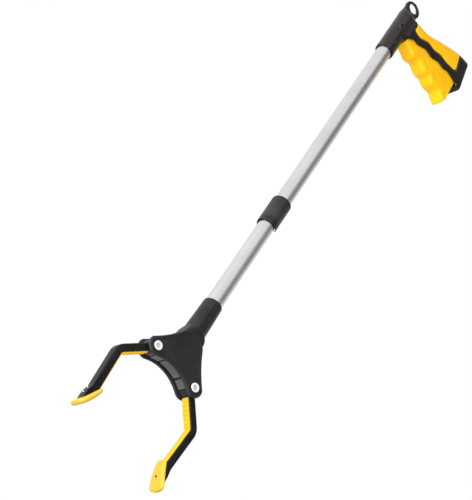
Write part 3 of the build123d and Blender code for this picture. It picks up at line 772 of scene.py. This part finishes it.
def head_outline():
    """Side view of the head plate: lobes round the rivets, hollow flanks, arched front."""
    centre_x = PIVOT_X + ARCH_APEX - ARCH_R
    meet = math.degrees(math.asin(PIVOT_Z / (ARCH_R + LOBE_R)))
    upper = arc(PIVOT_X, PIVOT_Z, LOBE_R, LOBE_ANGLE, 180.0 + meet - 2.0, 26)
    arch = arc(centre_x, 0.0, ARCH_R, meet - 0.5, 0.5 - meet, 40)
    top = [(HEAD_TOP - 49.0, 6.4), (HEAD_TOP - 51.5, 8.6), (HEAD_TOP - 54.0, 10.9)]
    top += [tuple(p) for p in FLANK[:0:-1] if p.x < HEAD_TOP - 56.0]
    first = top + upper
    second = [(x, -z) for x, z in first[::-1]]
    return first + arch + second


def flank_wall(sign):
    """Closed side of the head between its two plates, half of it."""
    line = [p for p in FLANK if PIVOT_X + 11.0 < p.x < HEAD_TOP - 50.0]
    inner = [p + Vector((-0.6, -2.4)) for p in line]
    outline = [(p.x, sign * (p.y - 0.1)) for p in line] + [(p.x, sign * p.y) for p in inner[::-1]]
    return plate(outline, [(0, -PLATE_IN - 0.6), (0, 0.0)])


def channel(x, y, z):
    """Long flat-bottomed channel along the socket's side, and the curved notch at its lower end."""
    ends = smooth_step((HEAD_TOP - 3.2 - x) / 1.6) * smooth_step((x - NECK_X + 3.0) / 5.0)
    inside = (1 - smooth_step((abs(z + 0.4) - 4.0) / 0.55)) * ends
    flat = max(y, -10.75)
    y = y + (flat - y) * inside
    notch = abs(math.hypot(x - (HEAD_TOP - 38.5), z + 4.6) - 8.6)
    depth = 0.8 * (1 - smooth_step((notch - 0.35) / 0.5)) * smooth_step((HEAD_TOP - 41.5 - x) / 2.0)
    return y + depth * smooth_step((-z - 2.0) / 1.5)


def neck_radius(x, a):
    """Distance from the axis where the round socket turns into the flat head, toward the angle a."""
    s = smooth_step((NECK_X - x) / NECK_LENGTH)
    deep = SOCKET_R + (PLATE_OUT - 0.05 - SOCKET_R) * s
    tall = SOCKET_R + (flank_z(NECK_X - NECK_LENGTH) - 0.15 - SOCKET_R) * s
    power = 2.0 + 6.0 * s
    return ((abs(math.cos(a)) / deep) ** power + (abs(math.sin(a)) / tall) ** power) ** (-1 / power)


def socket_side():
    """The -Y half of the socket round the short tube and the neck below it."""
    profile = [(HEAD_TOP - 38.0, 9.85), (HEAD_TOP - 0.7, 9.85), (HEAD_TOP - 0.2, 10.0), (HEAD_TOP, 10.35)]
    profile += [(HEAD_TOP - 0.1, 10.8), (HEAD_TOP - 0.5, 11.1), (HEAD_TOP - 1.0, SOCKET_TOP_R)]
    length = HEAD_TOP - 1.0 - NECK_X
    growth = SOCKET_R - SOCKET_TOP_R
    for i in range(1, 61):
        profile.append((HEAD_TOP - 1.0 - length * i / 60, SOCKET_TOP_R + growth * i / 60))
    profile += [(NECK_X - NECK_LENGTH * i / 26, None) for i in range(1, 27)]
    steps = 150
    rows = []
    for k in range(steps + 1):
        a = math.pi * 1.5 - math.pi * k / steps
        row = []
        for x, r in profile:
            outside = r is None or r > 10.9
            r = neck_radius(x, a) if r is None else r
            y, z = r * math.cos(a), r * math.sin(a)
            if outside and 0 < k < steps:
                y = channel(x, y, z)
            row.append((x, y, z))
        rows.append(row)
    return grid(rows)


def plate_rings():
    """Edge, bevel and border groove of a head plate, from its inner face out."""
    face = -PLATE_OUT
    edge = [(0.5, -PLATE_IN), (0.0, -PLATE_IN - 0.3), (0.0, face + 1.3), (0.16, face + 0.8)]
    edge += [(0.5, face + 0.4), (1.0, face + 0.12), (1.6, face)]
    groove = [(2.9, face), (3.1, face + 0.35), (3.3, face + 0.45)]
    groove += [(3.9, face + 0.45), (4.1, face + 0.35), (4.3, face)]
    return edge + groove


def on_both_plates(z, profile, steps):
    """Round shape on both faces of the head at a rivet. The profile is (height on the face, radius)."""
    near = turned([(-PLATE_OUT - up, r) for up, r in profile], "y", (PIVOT_X, 0.0, z), steps=steps)
    return joined(near, flipped(near))


def rivet(z):
    """Bright rivet through both plates, with domed heads; its near-white, partly metallic colour is a
    painted reflection.
    """
    head = [(-0.05, 5.1), (0.45, 5.15), (0.85, 4.95), (1.0, 4.5), (1.08, 3.9), (1.02, 3.2), (0.85, 2.75)]
    shank = turned([(-PLATE_OUT, 2.4), (PLATE_OUT, 2.4)], "y", (PIVOT_X, 0.0, z), steps=40)
    return joined(on_both_plates(z, head, 72), shank)


def rivet_dimple(z):
    """Dimple in the middle of a rivet's head, in a greyer colour that is painted shade for the recess."""
    cup = [(0.86, 2.8), (0.3, 2.65), (0.15, 2.3), (0.15, 1.0), (0.35, 0.001)]
    return on_both_plates(z, cup, 48)


def rivet_shade_ring(z):
    """Dark matte ring on the plate round a rivet's head: painted shade in the crevice where the head sits.
    """
    ring = [(-0.4, 6.5), (0.06, 6.45), (0.1, 6.2), (0.04, 5.9), (0.02, 5.0)]
    return on_both_plates(z, ring, 72)


def web_shape():
    """Curved web just behind the arched front, in three fields with two gaps, and the wall behind it."""
    shapes = []
    centre_x = PIVOT_X + ARCH_APEX - ARCH_R
    front, behind = ARCH_R + 1.3, ARCH_R + 3.3
    side = PLATE_IN - 0.05
    rings = [(0.25, -side), (0.0, 0.25 - side), (0.0, WEB_FAR - 0.25), (0.25, WEB_FAR)]
    for low, high in ((-29.0, -17.2), (-13.4, 13.4), (17.2, 29.0)):
        outer = arc(centre_x, 0.0, front, low, high, 18)
        inner = arc(centre_x, 0.0, behind, high, low, 18)
        shapes.append(plate(outer + inner, rings))
    near_side = arc(centre_x, 0.0, behind + 0.2, -28.0, 28.0, 24)
    far_side = arc(centre_x, 0.0, behind + 1.0, 28.0, -28.0, 24)
    return joined(*shapes), plate(near_side + far_side, [(0.0, -side), (0.0, side)])


def build_head():
    outline = head_outline()
    near = joined(plate(outline, plate_rings()), flank_wall(1), flank_wall(-1), socket_side())
    piece("head_side_left", *near, "lower_section", BLACK, "black_plastic", ["head_shell_left"])
    piece("head_side_right", *flipped(near), "lower_section", BLACK, "black_plastic", ["head_shell_right"])
    web, backing = web_shape()
    piece("head_web", *web, "lower_section", WEB, "black_plastic", ["head_bridge"])
    piece("head_web_back", *backing, "lower_section", BLACK, "black_plastic")
    rivets = joined(rivet(PIVOT_Z), rivet(-PIVOT_Z))
    piece("head_rivets", *rivets, "lower_section", NICKEL_PAINTED_REFLECTION, "bright_steel", ["jaw_rivets"])
    dimples = joined(rivet_dimple(PIVOT_Z), rivet_dimple(-PIVOT_Z))
    piece("head_rivet_dimples", *dimples, "lower_section", DIMPLE_PAINTED_SHADE, "bright_steel")
    # Dark matte rings round the rivet heads: painted shade in the crevices.
    shade_rings = joined(rivet_shade_ring(PIVOT_Z), rivet_shade_ring(-PIVOT_Z))
    piece("head_rivet_shade_rings", *shade_rings, "lower_section", DARK, "black_plastic")


# ---------------------------------------------------------------- jaws
def opened(out, forward):
    """Place of a point of the upper jaw, given shut, when the jaw rests open."""
    dx, dz = -forward, out - PIVOT_Z
    c, s = math.cos(JAW_OPEN), math.sin(JAW_OPEN)
    return (PIVOT_X + dx * c + dz * s, PIVOT_Z - dx * s + dz * c)


def offset_line(a, b, d):
    """Line from a to b moved by d toward the inside of the jaw."""
    a, b = Vector(a), Vector(b)
    e = (b - a).normalized()
    n = Vector((-e.y, e.x))
    if n.x > 0:
        n = -n
    return a + n * d, b + n * d


def bent(d, rounding):
    """Two-stretch line of the arm moved inward by d, with its elbow rounded."""
    p0, p1 = offset_line((PIVOT_Z, 0.0), ELBOW, d)
    q0, q1 = offset_line(ELBOW, KNEE, d)
    e1, e2 = (p1 - p0).normalized(), (q1 - q0).normalized()
    t = (q0 - p0).cross(e2) / e1.cross(e2)
    corner = p0 + e1 * t
    curve = rounded_corner(corner - e1 * rounding, corner, corner + e2 * rounding, 8)
    return [p0] + curve + [q1]


def arm_shape():
    outer = bent(-ARM_HALF, 7.5)
    inner = bent(ARM_HALF, 2.5)
    nose = [Vector(p) for p in ((15.1, 89.9), (13.9, 94.0), (12.0, 99.0), (9.4, 104.0), (6.6, 107.8))]
    under = [Vector(p) for p in ((5.4, 106.9), (5.8, 100.5), (6.8, 93.0), (7.7, 86.5))]
    line = outer + nose + under + inner[::-1]
    line = [opened(p[0], p[1]) for p in line]
    hub = arc(PIVOT_X, PIVOT_Z, 8.6, 0, 360, 48)[:-1]
    rings = [(1.5, -5.4), (0.9, -5.33), (0.4, -5.05), (0.1, -4.6), (0.0, -4.1)]
    rings += [(i, -y) for i, y in rings[::-1]]
    return joined(plate(line, rings), plate(hub, [(0.4, -5.35), (0.0, -5.0), (0.0, 5.0), (0.4, 5.35)]))


def liner_shape():
    """Soft strip inside the arm: ribbed before the elbow, smooth and thinner after it."""
    first = bent(ARM_HALF - 0.3, 2.5)
    face = []
    p0, p1 = offset_line((PIVOT_Z, 0.0), ELBOW, ARM_HALF)
    n = (offset_line((PIVOT_Z, 0.0), ELBOW, ARM_HALF + 1)[0] - p0)
    e = (p1 - p0).normalized()
    start, stop = 9.5, (p1 - p0).length - 4.2
    count = 84
    for i in range(count):
        s = start + (stop - start) * i / (count - 1)
        rib = 0.5 - 0.5 * math.cos(2 * math.pi * (s - start) / 4.7)
        depth = 1.4 + 0.55 * rib**0.6 if s < stop - 4 else 1.7
        face.append(p0 + e * s + n * depth)
    after = bent(ARM_HALF + 1.2, 2.0)[2:-1]
    face += after
    q0, q1 = offset_line(ELBOW, KNEE, ARM_HALF)
    m = offset_line(ELBOW, KNEE, ARM_HALF + 1)[0] - q0
    f = (q1 - q0).normalized()
    for i in range(12):
        t = i / 11
        face.append(q0 + f * (8.0 + ((q1 - q0).length - 10.0) * t) + m * (0.75 + 0.45 * (1 - t) ** 6))
    back = [first[0] + e * start] + first[1:-1] + [q0 + f * ((q1 - q0).length - 2.0) - m * 0.3]
    line = [opened(p[0], p[1]) for p in face + back[::-1]]
    rings = [(0.4, -4.4), (0.15, -4.25), (0.0, -3.9)]
    rings += [(i, -y) for i, y in rings[::-1]]
    return plate(line, rings)


def pad_back(f):
    return 5.9 + 2.8 * (max(0.0, 116.0 - f) / 32.0) ** 1.5


def pad_face(f):
    return 0.5 + 3.9 * (max(0.0, 106.0 - f) / 24.2) ** 1.9


def tip_shape():
    """Fingertip: widens toward a round end, curved face with faint ridges, rounded edges all round."""
    rows = []
    count = 76
    across = 18
    for i in range(count):
        t = i / (count - 1)
        f = TIP_START + TIP_LENGTH * t
        width = TIP_BASE_HALF + (TIP_END_HALF - TIP_BASE_HALF) * min(1.0, max(0.0, (f - 82.5) / 26.0))
        end = (f - 109.0) / 6.4
        if end > 0:
            width *= math.sqrt(max(0.0, 1 - min(1.0, end) ** 2.8)) * 0.9 + 0.1
        start = 1 - smooth_step((f - TIP_START) / 1.2)
        width -= 0.9 * start
        low, high = pad_face(f), pad_back(f)
        mid = (low + high) / 2
        thick = (high - low) / 2 * (1 - 0.35 * start)
        if f > 112.0:
            thick *= 1 - 0.45 * ((f - 112.0) / 3.4) ** 2
        ridge = 0.14 * (1 if 85 < f < 113 else 0) * math.cos(2 * math.pi * f / 2.3)
        row = []
        for side in (1, -1):
            for k in range(across):
                u = 1 - 2 * k / (across - 1)
                edge = abs(u) ** 5
                y = side * u * width
                lift = thick * (1 - edge) ** 0.5 if edge < 1 else 0.0
                lift = max(lift, 0.25 * thick)
                out = mid + side * lift
                if side < 0:
                    flat = max(0.0, 1 - abs(u) ** 4)
                    out += ridge * flat
                x, z = opened(out, f)
                row.append((x, y, z))
        rows.append(row)
    return grid(rows, closed=True, caps=(True, True))


def magnet_mount():
    """Raised ring round the insert of the lower fingertip."""
    f = INSERT_PLACE
    x, z = opened(pad_face(f), f)
    x2, z2 = opened(pad_face(f) - 1.0, f - 0.06)
    ax = Vector((x2 - x, 0, z2 - z)).normalized()
    ay = Vector((0, 1, 0))
    az = ax.cross(ay)
    ring = [(-0.5, 3.5), (0.2, 3.2), (0.42, 2.8), (0.42, 2.4), (0.25, 2.1), (-0.5, 1.95)]
    disc = [(-0.2, 2.2), (0.14, 2.0), (0.2, 0.001)]

    def place(profile, stretch):
        rows = []
        for k in range(49):
            a = 2 * math.pi * k / 48
            row = []
            for u, r in profile:
                round_part = ay * (r * math.cos(a)) + az * (r * stretch * math.sin(a))
                row.append(tuple(Vector((x, 0, z)) + ax * u + round_part))
            rows.append(row)
        return grid(rows)

    return place(ring, 0.55), place(disc, 0.5)


def pin_ends():
    """Ends of the two pins that hold the fingertip, standing out of the arm's back."""
    shapes = []
    for f, out in ((94.4, 14.0), (101.4, 11.3)):
        a = Vector(opened(out - 2.0, f - 0.8))
        b = Vector(opened(out + 0.9, f + 0.35))
        axis = (b - a).normalized()
        rows = []
        for t, r in ((0.0, 0.9), (0.82, 0.9), (0.95, 0.72), (1.0, 0.4), (1.0, 0.001)):
            c = a.lerp(b, t)
            row = []
            for k in range(20):
                w = 2 * math.pi * k / 20
                u, v = r * math.cos(w), r * math.sin(w)
                row.append((c.x - axis.y * u, v, c.y + axis.x * u))
            rows.append(row)
        shapes.append(grid(rows, closed=True))
    return joined(*shapes)


def turned_over(shape):
    """A shape of the upper jaw, made into the lower jaw's."""
    return moved(shape, lambda x, y, z: (x, y, -z))


def build_jaws():
    ring, disc = magnet_mount()
    shapes = {
        "arm": (arm_shape(), ARM_PAINTED_SHADE, "black_plastic", "jaw_arm"),
        "liner": (liner_shape(), LINER, "yellow_rubber", "jaw_liner"),
        "tip": (tip_shape(), TIP, "yellow_rubber", "tip_pad"),
        "pin_ends": (pin_ends(), STEEL, "steel", "tip_pins"),
    }
    for side in ("upper", "lower"):
        for name, (shape, look, slot, cad) in shapes.items():
            made = shape if side == "upper" else turned_over(shape)
            nodes = [f"{side}_{cad}"]
            piece(f"{side}_{name}", *made, f"{side}_jaw", look, slot, nodes)
    piece("lower_tip_ring", *turned_over(ring), "lower_jaw", TIP, "yellow_rubber")
    # The insert gets the dark matte look instead of bright steel: painted shade for the small hollow
    # inside its raised ring.
    piece("lower_tip_insert", *turned_over(disc), "lower_jaw", DARK, "bright_steel", ["lower_tip_magnet"])


# ---------------------------------------------------------------- stage
CAMERA_AT = Vector((-1.5554, -1.2086, 0.5828))
CAMERA_RIGHT = Vector((0.4435, -0.6677, -0.5979))
CAMERA_UP = Vector((0.6480, -0.2220, 0.7286))
CAMERA_BACK = Vector((-0.6192, -0.7105, 0.3342))
CAMERA_LENS = 111.0
MIDDLE = Vector((-0.40, 0.0, -0.02))
FLOOR_REACH = 30.0
FLOOR_Z = -0.20
ROOM_LIGHT = 0.85


def add_camera():
    data = bpy.data.cameras.new("camera")
    data.sensor_fit = "VERTICAL"
    data.sensor_height = 36.0
    data.lens = CAMERA_LENS
    camera = bpy.data.objects.new("camera", data)
    back = CAMERA_BACK.normalized()
    right = CAMERA_UP.cross(back).normalized()
    up = back.cross(right)
    camera.matrix_world = Matrix.Translation(CAMERA_AT) @ Matrix((right, up, back)).transposed().to_4x4()
    bpy.context.scene.collection.objects.link(camera)
    bpy.context.scene.camera = camera


def add_light(name, side, up, back, distance, size, power):
    """Soft area light aimed at the middle of the object, placed relative to the camera's axes."""
    direction = (CAMERA_RIGHT * side + CAMERA_UP * up + CAMERA_BACK * back).normalized()
    data = bpy.data.lights.new(name, "AREA")
    data.size = size
    data.energy = power
    light = bpy.data.objects.new(name, data)
    light.location = MIDDLE + direction * distance
    light.rotation_euler = direction.to_track_quat("Z", "Y").to_euler()
    bpy.context.scene.collection.objects.link(light)


def add_floor():
    """Plain pale floor, evenly bright where the camera sees it. Reflections and bounced light see a grey
    floor with a dark strip on the -Y side instead: a painted dark reflection band on the tube and painted
    shade on faces turned toward -Y.
    """
    mesh = bpy.data.meshes.new("floor")
    corners = [(-1, -1), (1, -1), (1, 1), (-1, 1)]
    verts = [(x * FLOOR_REACH, y * FLOOR_REACH, FLOOR_Z) for x, y in corners]
    mesh.from_pydata(verts, [], [(0, 1, 2, 3)])
    mat = bpy.data.materials.new("floor_paper")
    mat.use_nodes = True
    tree = mat.node_tree
    out = tree.nodes["Material Output"]
    paper = tree.nodes["Principled BSDF"]
    spot = tree.nodes.new("ShaderNodeNewGeometry")
    split = tree.nodes.new("ShaderNodeSeparateXYZ")
    tree.links.new(spot.outputs["Position"], split.inputs[0])
    across = node(tree, "ShaderNodeMapRange", From_Min=-0.9, From_Max=0.3)
    tree.links.new(split.outputs["Y"], across.inputs["Value"])
    # Grey across Y, darkest in a strip on the -Y side: painted dark reflection on the tube and painted
    # shade on faces turned toward -Y.
    painted_reflection_band = tree.nodes.new("ShaderNodeValToRGB")
    stops = painted_reflection_band.color_ramp.elements
    stops[0].position, stops[1].position = 0.0, 1.0
    for place in (0.30, 0.62, 0.78):
        stops.new(place)
    for stop, shade in zip(stops, (0.30, 0.10, 0.10, 0.48, 0.60)):
        stop.color = (shade, shade, shade, 1)
    tree.links.new(across.outputs["Result"], painted_reflection_band.inputs["Fac"])
    tree.links.new(painted_reflection_band.outputs["Color"], paper.inputs["Base Color"])
    paper.inputs["Roughness"].default_value = 0.9
    seen = node(tree, "ShaderNodeEmission", Color=(1, 1, 1, 1), Strength=1.0)
    path = tree.nodes.new("ShaderNodeLightPath")
    mix = tree.nodes.new("ShaderNodeMixShader")
    tree.links.new(path.outputs["Is Camera Ray"], mix.inputs[0])
    tree.links.new(paper.outputs[0], mix.inputs[1])
    tree.links.new(seen.outputs[0], mix.inputs[2])
    tree.links.new(mix.outputs[0], out.inputs["Surface"])
    mesh.materials.append(mat)
    floor = bpy.data.objects.new("floor", mesh)
    bpy.context.scene.collection.objects.link(floor)


def add_world():
    world = bpy.data.worlds.new("studio")
    world.use_nodes = True
    background = world.node_tree.nodes["Background"]
    background.inputs["Color"].default_value = (1.0, 1.0, 1.0, 1)
    background.inputs["Strength"].default_value = ROOM_LIGHT
    bpy.context.scene.world = world


def build_stage():
    add_camera()
    add_floor()
    add_world()
    add_light("key", -0.75, 0.7, 0.55, 1.7, 1.1, 30.0)
    add_light("front", 0.15, 0.1, 1.0, 1.7, 1.0, 20.0)
    add_light("fill", 0.9, 0.1, 0.2, 1.6, 0.8, 6.0)
    bpy.context.scene.view_settings.view_transform = "Standard"


dress_cad_nodes()
build_handle()
build_tubes()
build_cable()
build_head()
build_jaws()
build_stage()
